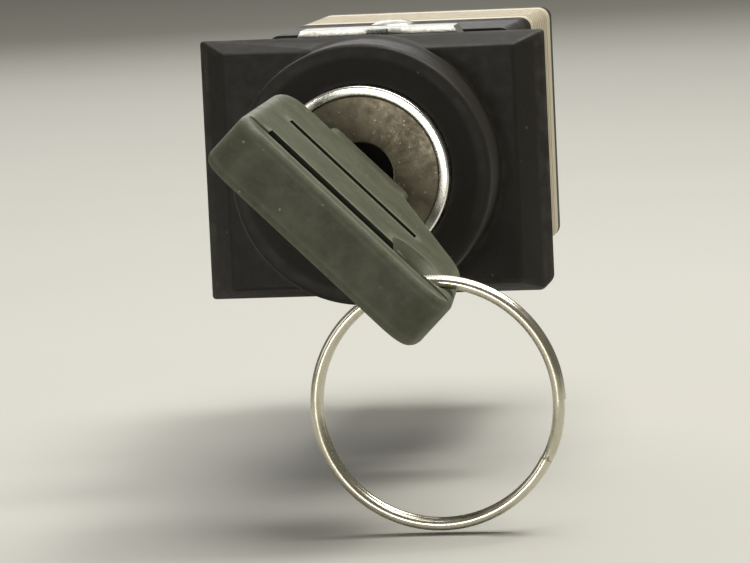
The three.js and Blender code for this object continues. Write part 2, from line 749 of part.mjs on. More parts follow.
function blockCover() {
  const plate = prism(roundedRectangle(blockHalf, blockHalf, blockEdge), coverRear, coverFront - FIT);
  const halfX = stripWidth / 2 + FIT;
  const halfY = stripThickness / 2 + FIT;
  const slot = block(-halfX, halfX, -halfY, halfY, coverRear - 1, coverFront + 1);
  const slots = [-1, 1].flatMap((side) =>
    [-1, 1].map((up) => slot.translate([side * plungerAt, up * stripAt, 0])));
  return cut(plate, slots, screwHoles(coverRear - 1, coverFront + 1));
}

add(front, "contact_case", contactCase(), creamPlastic);
add(front, "block_cover", blockCover(), blackPlastic);
screwSpots.forEach(([x, y], i) => {
  const screw = slottedScrew(1.25, coverRear - FIT - 0.9, 0.9, screwRadius, screwTip);
  add(front, `block_screw_${i + 1}`, screw, zincSteel, x, y, 0);
});

// ---- One contact column: "no" closes when pushed, "nc" opens when pushed ----
function plunger() {
  const dome = [0, 30, 60, 90].map((angle) =>
    [plungerRadius * Math.cos(angle * DEG), plungerTop - plungerRadius * (1 - Math.sin(angle * DEG))]);
  dome[dome.length - 1][0] = 0;
  const stem = turned([[0, collarFront], [plungerRadius, collarFront], ...dome], SMALL);
  const collarRear = collarFront - collarThickness;
  const collar = rod(collarRadius, collarRear, collarFront, SMALL);
  const body = block(-plungerHalf, plungerHalf, -plungerWall, plungerWall, plungerRear, collarRear);
  const openHalf = bridgeWidth / 2 + 0.15;
  const opening = block(-openHalf, openHalf, -2 * plungerWall, 2 * plungerWall, windowRear, windowFront);
  const pin = rod(tailPinRadius, plungerRear - tailPin, plungerRear, SMALL);
  return cut(join(stem, collar, body, pin), opening);
}

function terminal(footFront) {
  const tabEnd = coverRear - tabLength;
  const halfX = stripWidth / 2;
  const inner = stripAt - stripThickness / 2;
  const outer = stripAt + stripThickness / 2;
  const strip = block(-halfX, halfX, inner, outer, tabEnd, footFront);
  const foot = block(-halfX, halfX, tipAt - tipRadius - 0.2, stripAt, footFront - stripThickness, footFront);
  const reliefEnd = coverRear - tabShoulder;
  const relief = block(-stripWidth, stripWidth, outer - tabRelief, outer + 1, tabEnd - 1, reliefEnd);
  const eye = rod(tabEye, inner - 1, outer + 1, SMALL)
    .rotate([-90, 0, 0])
    .translate([0, 0, tabEnd + 2 * tabEye]);
  return cut(join(strip, foot), relief, eye);
}

function contactColumn(name, side) {
  const closes = name === "no";
  const x = side * plungerAt;
  const body = new THREE.Group();
  body.position.set(x, 0, 0);
  front.add(body);
  add(body, `plunger_${name}`, plunger(), redPlastic);

  // The closing bridge rests on the rear end of the window, the opening one on its front end.
  const bridgeFront = closes ? windowRear + FIT + bridgeThickness : windowFront - FIT;
  const bridgeRear = bridgeFront - bridgeThickness;
  const bridge = block(-bridgeWidth / 2, bridgeWidth / 2, -bridgeHalf, bridgeHalf, bridgeRear, bridgeFront);
  add(body, `bridge_${name}`, bridge, brass);
  const springSpan = closes
    ? [bridgeFront + FIT, windowFront - FIT]
    : [windowRear + FIT, bridgeRear - FIT];
  add(body, `bridge_spring_${name}`, coil(0.95, 0.22, ...springSpan, 5), springSteel);
  add(body, `return_spring_${name}`, coil(1.25, 0.25, coverFront + FIT, plungerRear - FIT, 4), springSteel);

  const reach = closes ? -1 : 1;
  const movingFace = closes ? bridgeRear - FIT : bridgeFront + FIT;
  const fixedFace = movingFace + reach * (tipThickness + RUN) + (closes ? -stroke : 0);
  const footFace = fixedFace + reach * (tipThickness + FIT);
  const tip = rod(tipRadius, 0, reach * tipThickness, SMALL);
  [1, -1].forEach((up, i) => {
    const foot = terminal(closes ? footFace : footFace + stripThickness);
    const strip = up > 0 ? foot : foot.rotate([0, 0, 180]);
    add(body, `moving_tip_${name}_${i + 1}`, tip, silver, 0, up * tipAt, movingFace);
    add(body, `fixed_tip_${name}_${i + 1}`, tip, silver, 0, up * tipAt, fixedFace);
    add(body, `terminal_${name}_${i + 1}`, strip, brass);
  });
}

contactColumn("no", 1);
contactColumn("nc", -1);

export default object;
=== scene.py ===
# Key-operated selector switch with its key and split ring.
# Metres in the scene; the sizes in the dictionaries are millimetres.
import json
import math

import bmesh
import bpy
from mathutils import Matrix, Vector


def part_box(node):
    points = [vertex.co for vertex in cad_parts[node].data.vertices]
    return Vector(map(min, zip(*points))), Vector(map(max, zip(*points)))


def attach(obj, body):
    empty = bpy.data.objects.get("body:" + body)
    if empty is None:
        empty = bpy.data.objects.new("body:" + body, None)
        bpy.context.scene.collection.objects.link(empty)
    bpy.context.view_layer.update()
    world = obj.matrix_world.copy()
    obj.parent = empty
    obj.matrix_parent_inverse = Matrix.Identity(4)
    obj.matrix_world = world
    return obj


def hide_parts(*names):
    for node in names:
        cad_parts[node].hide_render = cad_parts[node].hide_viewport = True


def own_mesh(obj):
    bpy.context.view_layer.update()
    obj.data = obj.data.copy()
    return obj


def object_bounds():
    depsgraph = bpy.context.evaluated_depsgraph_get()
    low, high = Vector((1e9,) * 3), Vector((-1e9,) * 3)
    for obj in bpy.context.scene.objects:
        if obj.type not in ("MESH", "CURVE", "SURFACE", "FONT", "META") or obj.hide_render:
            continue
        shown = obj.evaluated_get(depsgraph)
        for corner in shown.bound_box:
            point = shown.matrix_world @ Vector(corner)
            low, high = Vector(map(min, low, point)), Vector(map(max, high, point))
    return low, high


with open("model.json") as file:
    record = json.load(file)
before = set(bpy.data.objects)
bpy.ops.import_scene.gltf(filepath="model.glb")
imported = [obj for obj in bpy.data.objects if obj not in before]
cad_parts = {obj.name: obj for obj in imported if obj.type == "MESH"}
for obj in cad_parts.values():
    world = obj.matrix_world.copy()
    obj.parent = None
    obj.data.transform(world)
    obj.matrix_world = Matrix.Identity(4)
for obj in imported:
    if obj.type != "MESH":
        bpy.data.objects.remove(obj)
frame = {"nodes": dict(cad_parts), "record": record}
cadLow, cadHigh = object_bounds()
scene = bpy.context.scene
mm = 0.001

bodyOfNode = {}
for bodyName, members in frame["record"]["behaviour"]["bodies"].items():
    for member in members:
        bodyOfNode[member] = bodyName

# x right, y up and z out of the panel; keyWay is the same, turned with the key
panelWay = Matrix.Rotation(math.radians(90), 4, "X")
keyWay = panelWay @ Matrix.Rotation(math.radians(-45), 4, "Z")


# each finish is one material on the piece's own coordinates, in millimetres
class Finish:
    def __init__(self, name, colour, roughness, metallic=0.0):
        self.material = bpy.data.materials.new(name)
        self.material.use_nodes = True
        self.tree = self.material.node_tree
        self.shader = self.tree.nodes["Principled BSDF"]
        self.shader.inputs["Base Color"].default_value = (*colour, 1)
        self.shader.inputs["Roughness"].default_value = roughness
        self.shader.inputs["Metallic"].default_value = metallic
        coordinates = self.tree.nodes.new("ShaderNodeTexCoord")
        inMillimetres = self.tree.nodes.new("ShaderNodeMapping")
        inMillimetres.inputs["Scale"].default_value = (1000, 1000, 1000)
        self.link(coordinates.outputs["Object"], inMillimetres.inputs["Vector"])
        self.place = inMillimetres.outputs["Vector"]
        self.normal = None

    def link(self, a, b):
        self.tree.links.new(a, b)

    def stretched(self, stretch):
        node = self.tree.nodes.new("ShaderNodeMapping")
        node.inputs["Scale"].default_value = stretch
        self.link(self.place, node.inputs["Vector"])
        return node.outputs["Vector"]

    def noise(self, scale, detail=4, roughness=0.55, place=None):
        node = self.tree.nodes.new("ShaderNodeTexNoise")
        node.inputs["Scale"].default_value = scale
        node.inputs["Detail"].default_value = detail
        node.inputs["Roughness"].default_value = roughness
        self.link(place or self.place, node.inputs["Vector"])
        return node.outputs["Fac"]

    def specks(self, scale, size):
        # 1 in small dots, 0 elsewhere
        node = self.tree.nodes.new("ShaderNodeTexVoronoi")
        node.inputs["Scale"].default_value = scale
        self.link(self.place, node.inputs["Vector"])
        return self.ramp(node.outputs["Distance"], size, size * 0.5)

    def ramp(self, value, low, high, start=0.0, end=1.0):
        node = self.tree.nodes.new("ShaderNodeMapRange")
        for label, number in (("From Min", low), ("From Max", high), ("To Min", start), ("To Max", end)):
            node.inputs[label].default_value = number
        self.link(value, node.inputs["Value"])
        return node.outputs["Result"]

    def times(self, a, b):
        node = self.tree.nodes.new("ShaderNodeMath")
        node.operation = "MULTIPLY"
        for socket, value in zip(node.inputs, (a, b)):
            if isinstance(value, (int, float)):
                socket.default_value = value
            else:
                self.link(value, socket)
        return node.outputs["Value"]

    def edges(self, radius, low=0.02, high=0.25):
        # 1 on outer edges and corners
        bevel = self.tree.nodes.new("ShaderNodeBevel")
        bevel.samples = 6
        bevel.inputs["Radius"].default_value = radius * mm
        geometry = self.tree.nodes.new("ShaderNodeNewGeometry")
        dot = self.tree.nodes.new("ShaderNodeVectorMath")
        dot.operation = "DOT_PRODUCT"
        self.link(bevel.outputs["Normal"], dot.inputs[0])
        self.link(geometry.outputs["Normal"], dot.inputs[1])
        return self.ramp(dot.outputs["Value"], 1 - low, 1 - high)

    def tint(self, factor, colour):
        # lays colour over what the base colour is so far
        node = self.tree.nodes.new("ShaderNodeMix")
        node.data_type = "RGBA"
        base = self.shader.inputs["Base Color"]
        if base.is_linked:
            self.link(base.links[0].from_socket, node.inputs["A"])
        else:
            node.inputs["A"].default_value = base.default_value
        node.inputs["B"].default_value = (*colour, 1)
        self.link(factor, node.inputs["Factor"])
        self.link(node.outputs["Result"], base)

    def shine(self, value):
        self.link(value, self.shader.inputs["Roughness"])

    def bump(self, height, strength, distance=0.02):
        node = self.tree.nodes.new("ShaderNodeBump")
        node.inputs["Strength"].default_value = strength
        node.inputs["Distance"].default_value = distance * mm
        self.link(height, node.inputs["Height"])
        if self.normal:
            self.link(self.normal, node.inputs["Normal"])
        self.normal = node.outputs["Normal"]
        self.link(self.normal, self.shader.inputs["Normal"])


def makeBlackPlastic(name):
    f = Finish(name, (0.0175, 0.015, 0.0115), 0.45)
    f.shader.inputs["Specular IOR Level"].default_value = 0.26
    f.tint(f.ramp(f.noise(0.35, 3), 0.42, 0.7, 0, 0.6), (0.022, 0.019, 0.016))
    f.tint(f.ramp(f.noise(2.6, 6, 0.7), 0.56, 0.74, 0, 0.35), (0.045, 0.041, 0.035))
    # edges made lighter: partly wear, partly a painted highlight along the rims
    wornAndLit = f.times(f.edges(0.7, 0.004, 0.08), f.ramp(f.noise(0.6, 3), 0.4, 0.6, 0.15, 0.9))
    f.tint(wornAndLit, (0.06, 0.056, 0.047))
    f.tint(f.times(f.specks(0.55, 0.06), 0.45), (0.2, 0.19, 0.17))
    f.shine(f.ramp(f.noise(1.1, 5), 0.3, 0.7, 0.48, 0.6))
    f.bump(f.noise(7, 3), 0.25, 0.03)
    return f.material


def makeBowPlastic(name):
    f = Finish(name, (0.098, 0.105, 0.066), 0.5)
    f.shader.inputs["Specular IOR Level"].default_value = 0.25
    f.tint(f.ramp(f.noise(0.45, 4, 0.6), 0.35, 0.65), (0.07, 0.075, 0.047))
    f.tint(f.ramp(f.noise(2.2, 6, 0.65), 0.52, 0.74, 0, 0.6), (0.12, 0.125, 0.09))
    # edges made lighter: partly wear, partly a painted highlight along the ridges and rims
    wornAndLit = f.times(f.edges(1.1, 0.002, 0.05), f.ramp(f.noise(1.6, 4), 0.3, 0.6, 0.35, 0.85))
    f.tint(wornAndLit, (0.21, 0.22, 0.165))
    f.tint(f.times(f.specks(0.8, 0.09), 0.7), (0.36, 0.36, 0.29))
    f.shine(f.ramp(f.noise(0.9, 5), 0.3, 0.7, 0.46, 0.58))
    f.bump(f.noise(5, 4), 0.3, 0.04)
    f.bump(f.noise(1.2, 3), 0.2, 0.06)
    return f.material


def makeNickel(name, colour, shade):
    f = Finish(name, colour, 0.25, 1.0)
    f.tint(f.ramp(f.noise(0.9, 2), 0.5, 0.75, 0, 0.5), shade)
    f.shine(f.ramp(f.noise(1.2, 2), 0.3, 0.7, 0.2, 0.32))
    f.bump(f.noise(1.5, 1), 0.06, 0.01)
    return f.material


def makePlugMetal(name):
    f = Finish(name, (0.3, 0.265, 0.2), 0.42, 0.85)
    f.tint(f.ramp(f.noise(0.5, 4, 0.6), 0.4, 0.62), (0.19, 0.165, 0.125))
    f.tint(f.ramp(f.noise(4, 6, 0.7), 0.55, 0.7, 0, 0.7), (0.42, 0.39, 0.31))
    f.tint(f.times(f.specks(1.8, 0.13), 0.8), (0.7, 0.66, 0.55))
    f.shine(f.ramp(f.noise(2.2, 5), 0.3, 0.7, 0.34, 0.56))
    f.bump(f.noise(6, 5), 0.35, 0.03)
    return f.material


def makeZinc(name):
    f = Finish(name, (0.56, 0.56, 0.53), 0.34, 1.0)
    f.tint(f.ramp(f.noise(1.2, 5, 0.6), 0.4, 0.7, 0, 0.8), (0.42, 0.41, 0.36))
    f.tint(f.times(f.edges(0.3), 0.6), (0.75, 0.75, 0.72))
    f.shine(f.ramp(f.noise(4, 5), 0.3, 0.7, 0.26, 0.46))
    f.bump(f.noise(8, 4), 0.2, 0.02)
    return f.material


def makeSpringSteel(name):
    f = Finish(name, (0.5, 0.5, 0.51), 0.25, 1.0)
    f.tint(f.ramp(f.noise(2.5, 4), 0.45, 0.7, 0, 0.7), (0.36, 0.35, 0.33))
    f.shine(f.ramp(f.noise(6, 4), 0.3, 0.7, 0.18, 0.36))
    f.bump(f.noise(14, 3), 0.15, 0.008)
    return f.material


def makeBrass(name):
    f = Finish(name, (0.62, 0.44, 0.18), 0.3, 1.0)
    f.tint(f.ramp(f.noise(0.8, 5, 0.6), 0.42, 0.68, 0, 0.8), (0.45, 0.3, 0.12))
    f.tint(f.times(f.edges(0.2), 0.5), (0.8, 0.62, 0.32))
    lines = f.noise(1.0, 3, 0.5, f.stretched((14, 0.6, 14)))
    f.shine(f.ramp(lines, 0.3, 0.7, 0.2, 0.42))
    f.bump(lines, 0.2, 0.01)
    return f.material


def makeSilver(name):
    f = Finish(name, (0.82, 0.81, 0.78), 0.25, 1.0)
    f.tint(f.ramp(f.noise(3, 4), 0.5, 0.7, 0, 0.6), (0.55, 0.52, 0.47))
    f.shine(f.ramp(f.noise(6, 4), 0.3, 0.7, 0.16, 0.4))
    f.bump(f.noise(10, 3), 0.2, 0.01)
    return f.material


def makeRubber(name):
    f = Finish(name, (0.011, 0.011, 0.011), 0.8)
    f.tint(f.ramp(f.noise(3, 5), 0.5, 0.75, 0, 0.6), (0.03, 0.029, 0.027))
    f.shine(f.ramp(f.noise(5, 4), 0.3, 0.7, 0.68, 0.92))
    f.bump(f.noise(12, 3), 0.4, 0.03)
    return f.material


def makeMoulded(name, colour, shade):
    f = Finish(name, colour, 0.45)
    f.tint(f.ramp(f.noise(0.5, 4), 0.4, 0.7, 0, 0.5), shade)
    f.tint(f.times(f.edges(0.25), 0.35), tuple(min(1, c * 1.5) for c in colour))
    f.shine(f.ramp(f.noise(1.8, 5), 0.3, 0.7, 0.36, 0.55))
    f.bump(f.noise(9, 3), 0.22, 0.02)
    return f.material


finishes = {
    "black_plastic": makeBlackPlastic("blackPlastic"),
    "bow_plastic": makeBowPlastic("bowPlastic"),
    "polished_nickel": makeNickel("polishedNickel", (0.95, 0.94, 0.9), (0.78, 0.75, 0.67)),
    "plug_metal": makePlugMetal("plugMetal"),
    "zinc_steel": makeZinc("zincSteel"),
    "spring_steel": makeSpringSteel("springSteel"),
    "brass": makeBrass("stampedBrass"),
    "silver": makeSilver("contactSilver"),
    "rubber": makeRubber("gasketRubber"),
    "cream_plastic": makeMoulded("creamPlastic", (0.56, 0.5, 0.37), (0.46, 0.4, 0.28)),
    "red_plastic": makeMoulded("redPlastic", (0.26, 0.035, 0.025), (0.17, 0.022, 0.016)),
}
# painted shade: a near-black material for the hollow of the keyway mouth
keywayShade = makeMoulded("keywayShade", (0.006, 0.0055, 0.005), (0.012, 0.01, 0.008))
# painted shade: a darker material for the sunk faces of the bow's flank grooves
grooveShade = makeMoulded("grooveShade", (0.026, 0.027, 0.018), (0.036, 0.037, 0.026))
wornNickel = makeNickel("wornNickel", (0.64, 0.61, 0.5), (0.5, 0.47, 0.37))
print("finishes made:", len(finishes))


# drawings are in millimetres: x right, y up, z out of the panel
def place(mesh, way):
    mesh.transform(way @ Matrix.Scale(mm, 4))


def at(x, y, z, way=panelWay):
    return way @ Matrix.Translation((x * mm, y * mm, z * mm))


def meshFrom(name, bm, way=None):
    mesh = bpy.data.meshes.new(name)
    bmesh.ops.recalc_face_normals(bm, faces=bm.faces)
    bm.to_mesh(mesh)
    bm.free()
    if way is not None:
        place(mesh, way)
    piece = bpy.data.objects.new(name, mesh)
    scene.collection.objects.link(piece)
    return piece


def roundedProfile(points, closed=False):
    # each point is (radius, height) or (radius, height, rounding)
    drawn = []
    last = len(points) - 1
    for i, point in enumerate(points):
        here = Vector(point[:2])
        if len(point) < 3 or (not closed and i in (0, last)):
            drawn.append(here)
            continue
        before = Vector(points[i - 1][:2]) - here
        after = Vector(points[(i + 1) % len(points)][:2]) - here
        reach = min(point[2], before.length * 0.49, after.length * 0.49)
        a = here + before.normalized() * reach
        b = here + after.normalized() * reach
        steps = 5
        for k in range(steps + 1):
            t = k / steps
            drawn.append(a * (1 - t) ** 2 + here * 2 * t * (1 - t) + b * t * t)
    return drawn


def turnedMesh(name, points, steps=96, closed=False, way=None):
    # a turned piece about z; an open profile runs from axis to axis
    profile = roundedProfile(points, closed)
    bm = bmesh.new()
    rings = []
    for p in profile:
        if p.x < 1e-6:
            rings.append([bm.verts.new((0, 0, p.y))])
            continue
        angles = [2 * math.pi * k / steps for k in range(steps)]
        rings.append([bm.verts.new((p.x * math.cos(a), p.x * math.sin(a), p.y)) for a in angles])
    pairs = list(zip(rings, rings[1:]))
    if closed:
        pairs.append((rings[-1], rings[0]))
    for low, high in pairs:
        for k in range(steps):
            n = (k + 1) % steps
            corners = [low[k % len(low)], low[n % len(low)], high[n % len(high)], high[k % len(high)]]
            corners = list(dict.fromkeys(corners))
            if len(corners) > 2:
                bm.faces.new(corners)
    return meshFrom(name, bm, way)


def slabMesh(name, outline, low, high, edge=0.0, edgeSteps=4, way=None):
    # an outline in x and y made solid from z low to high, with rounded rims
    bm = bmesh.new()
    base = bm.faces.new([bm.verts.new((x, y, low)) for x, y in outline])
    grown = bmesh.ops.extrude_face_region(bm, geom=[base])
    top = [v for v in grown["geom"] if isinstance(v, bmesh.types.BMVert)]
    bmesh.ops.translate(bm, verts=top, vec=(0, 0, high - low))
    if edge:
        rims = [e for e in bm.edges if abs(e.verts[0].co.z - e.verts[1].co.z) < 1e-9]
        bmesh.ops.bevel(bm, geom=rims, offset=edge, segments=edgeSteps, profile=0.5, affect="EDGES",
                        clamp_overlap=True)
    return meshFrom(name, bm, way)


def roundedBox(halfX, halfY, corner, steps=6):
    points = []
    for quarter, (sx, sy) in enumerate(((1, 1), (-1, 1), (-1, -1), (1, -1))):
        for k in range(steps + 1):
            a = math.radians(90 * (quarter + k / steps))
            x, y = sx * (halfX - corner), sy * (halfY - corner)
            points.append((x + corner * math.cos(a), y + corner * math.sin(a)))
    return points


def applied(piece):
    # bakes the piece's modifiers into its mesh
    bpy.context.view_layer.update()
    evaluated = piece.evaluated_get(bpy.context.evaluated_depsgraph_get())
    mesh = bpy.data.meshes.new_from_object(evaluated)
    piece.modifiers.clear()
    old = piece.data
    piece.data = mesh
    bpy.data.meshes.remove(old)
    return piece


def carve(piece, tools, operation="DIFFERENCE"):
    for tool in tools:
        step = piece.modifiers.new("carve", "BOOLEAN")
        step.operation = operation
        step.solver = "EXACT"
        step.object = tool
    applied(piece)
    for tool in tools:
        bpy.data.objects.remove(tool)
    return piece


def soften(piece, width, segments=2, angle=32):
    # small rounded edges, then smooth shading with crisp corners kept
    step = piece.modifiers.new("edges", "BEVEL")
    step.width = width * mm
    step.segments = segments
    step.limit_method = "ANGLE"
    step.angle_limit = math.radians(angle)
    step.use_clamp_overlap = True
    step.miter_outer = "MITER_ARC"
    shaded(applied(piece))
    step = piece.modifiers.new("flat", "WEIGHTED_NORMAL")
    step.keep_sharp = True
    return applied(piece)


def shaded(piece, angle=38):
    piece.data.shade_smooth()
    piece.data.set_sharp_from_angle(angle=math.radians(angle))
    return piece


def cleaned(piece):
    # joins doubles and lets flat neighbours become one face
    bm = bmesh.new()
    bm.from_mesh(piece.data)
    bmesh.ops.remove_doubles(bm, verts=bm.verts, dist=0.002 * mm)
    bmesh.ops.dissolve_limit(bm, angle_limit=math.radians(1), verts=bm.verts, edges=bm.edges)
    bm.to_mesh(piece.data)
    bm.free()
    return piece


def settle(piece, slotName, *nodes):
    # gives the piece its finish and its body, and lets it stand for its frame nodes
    if not piece.data.materials:
        piece.data.materials.append(finishes[slotName])
    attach(piece, bodyOfNode[nodes[0]])
    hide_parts(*nodes)
    return piece


def edged(node, name, slotName, width, tools=()):
    # a finer copy of a frame node, with rounded edges and anything that tools cut from it
    mesh = frame["nodes"][node].data.copy()
    mesh.materials.clear()
    piece = bpy.data.objects.new(name, mesh)
    scene.collection.objects.link(piece)
    cleaned(piece)
    soften(piece, width)
    if tools:
        shaded(carve(piece, tools))
    return settle(piece, slotName, node)


# Geometry Nodes for what repeats or follows a path
class Grower:
    # a tree with named inputs that ends in Realize Instances and Set Material
    def __init__(self, name, **inputs):
        self.tree = bpy.data.node_groups.new(name, "GeometryNodeTree")
        self.tree.interface.new_socket("Geometry", in_out="OUTPUT", socket_type="NodeSocketGeometry")
        for label, kind in {**inputs, "Material": "Material"}.items():
            self.tree.interface.new_socket(label, in_out="INPUT", socket_type="NodeSocket" + kind)
        self.given = self.tree.nodes.new("NodeGroupInput").outputs

    def feed(self, socket, value):
        if isinstance(value, bpy.types.NodeSocket):
            self.tree.links.new(value, socket)
        else:
            socket.default_value = value

    def node(self, kind, sockets=None, **settings):
        made = self.tree.nodes.new("GeometryNode" + kind if not kind.startswith("Shader") else kind)
        for label, value in settings.items():
            setattr(made, label, value)
        for label, value in (sockets or {}).items():
            self.feed(made.inputs[label], value)
        return made.outputs[0]

    def maths(self, operation, *values):
        made = self.tree.nodes.new("ShaderNodeMath")
        made.operation = operation
        for socket, value in zip(made.inputs, values):
            self.feed(socket, value)
        return made.outputs[0]

    def triple(self, x, y, z):
        return self.node("ShaderNodeCombineXYZ", {"X": x, "Y": y, "Z": z})

    def done(self, geometry):
        real = self.node("RealizeInstances", {"Geometry": geometry})
        painted = self.node("SetMaterial", {"Geometry": real, "Material": self.given["Material"]})
        self.tree.links.new(painted, self.tree.nodes.new("NodeGroupOutput").inputs[0])
        return self.tree


def wireTree():
    # wire or thread wound round z; Crowd brings the end turns of a spring together, and
    # Closing 1 keeps the turns level but for one step of width Spread between them
    g = Grower("woundWire", Radius="Float", Across="Float", Along="Float", Length="Float", Turns="Float",
               Closing="Float", Spread="Float", Crowd="Float", Sides="Int", Steps="Int")
    line = g.node("CurvePrimitiveLine", {"End": (0, 0, 1)})
    count = g.maths("CEIL", g.maths("MULTIPLY", g.given["Turns"], g.given["Steps"]))
    path = g.node("ResampleCurve", {"Curve": line, "Count": count})
    along = g.node("SplineParameter")
    angle = g.maths("MULTIPLY", g.maths("MULTIPLY", along, g.given["Turns"]), 2 * math.pi)
    x = g.maths("MULTIPLY", g.given["Radius"], g.maths("COSINE", angle))
    y = g.maths("MULTIPLY", g.given["Radius"], g.maths("SINE", angle))
    stepped = g.node("ShaderNodeMapRange", {
        "Value": along, "From Min": g.maths("SUBTRACT", 0.5, g.given["Spread"]),
        "From Max": g.maths("ADD", 0.5, g.given["Spread"])}, interpolation_type="SMOOTHSTEP")
    levelled = g.maths("MULTIPLY", g.given["Closing"], g.maths("SUBTRACT", stepped, along))
    share = g.maths("ADD", along, levelled)
    wave = g.maths("SINE", g.maths("MULTIPLY", along, 2 * math.pi))
    crowd = g.maths("MULTIPLY", g.maths("DIVIDE", g.given["Crowd"], 2 * math.pi), wave)
    crowded = g.maths("SUBTRACT", share, crowd)
    z = g.maths("MULTIPLY", g.given["Length"], crowded)
    wound = g.node("SetPosition", {"Geometry": path, "Position": g.triple(x, y, z)})
    steady = g.node("SetCurveNormal", {"Curve": wound}, mode="Z_UP")
    section = g.node("CurvePrimitiveCircle", {"Resolution": g.given["Sides"], "Radius": 0.5})
    size = g.triple(g.given["Across"], g.given["Along"], 1.0)
    sized = g.node("Transform", {"Geometry": section, "Scale": size})
    return g.done(g.node("CurveToMesh", {"Curve": steady, "Profile Curve": sized, "Fill Caps": True}))


def washerTree():
    # a flat ring with twisted teeth round its outside
    g = Grower("toothedRing", Inner="Float", Rim="Float", Outer="Float", Thickness="Float", Teeth="Int",
               ToothWidth="Float", Twist="Float")
    middle = g.maths("MULTIPLY", g.maths("ADD", g.given["Inner"], g.given["Rim"]), 0.5)
    circle = g.node("CurvePrimitiveCircle", {"Resolution": 120, "Radius": middle})
    width = g.maths("SUBTRACT", g.given["Rim"], g.given["Inner"])
    section = g.node("CurvePrimitiveQuadrilateral", {"Width": width, "Height": g.given["Thickness"]})
    eased = g.node("FilletCurve", {"Curve": section, "Radius": 0.08, "Count": 3}, mode="POLY")
    ring = g.node("CurveToMesh", {"Curve": circle, "Profile Curve": eased})
    length = g.maths("ADD", g.maths("SUBTRACT", g.given["Outer"], g.given["Rim"]), 0.3)
    reach = g.maths("SUBTRACT", g.given["Outer"], g.maths("MULTIPLY", length, 0.5))
    spots = g.node("MeshCircle", {"Vertices": g.given["Teeth"], "Radius": reach})
    size = g.triple(length, g.given["ToothWidth"], g.maths("MULTIPLY", g.given["Thickness"], 0.66))
    tooth = g.node("MeshCube", {"Size": size, "Vertices X": 4, "Vertices Y": 4, "Vertices Z": 2})
    index = g.node("InputIndex")
    turn = g.maths("DIVIDE", g.maths("MULTIPLY", index, 2 * math.pi), g.given["Teeth"])
    teeth = g.node("InstanceOnPoints", {"Points": spots, "Instance": tooth,
                                        "Rotation": g.triple(g.given["Twist"], 0.0, turn)})
    both = g.tree.nodes.new("GeometryNodeJoinGeometry")
    g.tree.links.new(ring, both.inputs[0])
    g.tree.links.new(teeth, both.inputs[0])
    return g.done(both.outputs[0])


def copiesTree():
    # copies of one piece, each a step along and a turn round z from the one before
    g = Grower("rowOfCopies", Piece="Object", Count="Int", Step="Vector", Turn="Float")
    spots = g.node("MeshLine", {"Count": g.given["Count"], "Offset": g.given["Step"]})
    source = g.tree.nodes.new("GeometryNodeObjectInfo")
    g.tree.links.new(g.given["Piece"], source.inputs["Object"])
    turn = g.maths("MULTIPLY", g.node("InputIndex"), g.given["Turn"])
    return g.done(g.node("InstanceOnPoints", {"Points": spots, "Instance": source.outputs["Geometry"],
                                              "Rotation": g.triple(0.0, 0.0, turn)}))


def grow(name, tree, values, slotName, way=None, turn=None):
    piece = bpy.data.objects.new(name, bpy.data.meshes.new(name))
    scene.collection.objects.link(piece)
    modifier = piece.modifiers.new("grow", "NODES")
    modifier.node_group = tree
    sockets = {item.name: item.identifier for item in tree.interface.items_tree
               if item.in_out == "INPUT"}
    for label, value in {**values, "Material": finishes[slotName]}.items():
        modifier[sockets[label]] = value
    applied(piece)
    for value in values.values():
        if isinstance(value, bpy.types.Object):
            bpy.data.objects.remove(value)
    if turn:
        piece.data.transform(turn)
    if way:
        place(piece.data, way)
    return shaded(piece)


def joined(piece, *more):
    bm = bmesh.new()
    for part in (piece, *more):
        bm.from_mesh(part.data)
    bm.to_mesh(piece.data)
    bm.free()
    for part in more:
        bpy.data.objects.remove(part)
    return piece


woundWire, toothedRing, rowOfCopies = wireTree(), washerTree(), copiesTree()
fine = 128  # steps round the large turned pieces


# bezel: sloped flange, round boss and threaded barrel
bezelLow, bezelHigh = (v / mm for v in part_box("bezel_case"))
bezel = {
    "halfX": bezelHigh.x, "halfY": bezelHigh.z, "height": 2.4, "sideSlope": 1.9, "topSlope": 0.8,
    "clippedCorner": 0.8, "rim": 0.22,
    "bossRadius": 8.9, "bossTop": -bezelLow.y, "bossEdge": 0.45, "foot": 0.3, "dishDepth": 0.5,
    "dishInner": 6.15, "neck": 7.45, "gasketDepth": 0.5, "gasketInset": 0.5,
    "threadRoot": 7.42, "threadEnd": 8, "tail": 7.3, "rear": bezelHigh.y, "bore": 6.65, "step": 5,
    "tailEdge": 0.2, "fineEdge": 0.1, "dishEdge": 0.2, "footBelow": 0.35, "gasketCorner": 0.6,
}


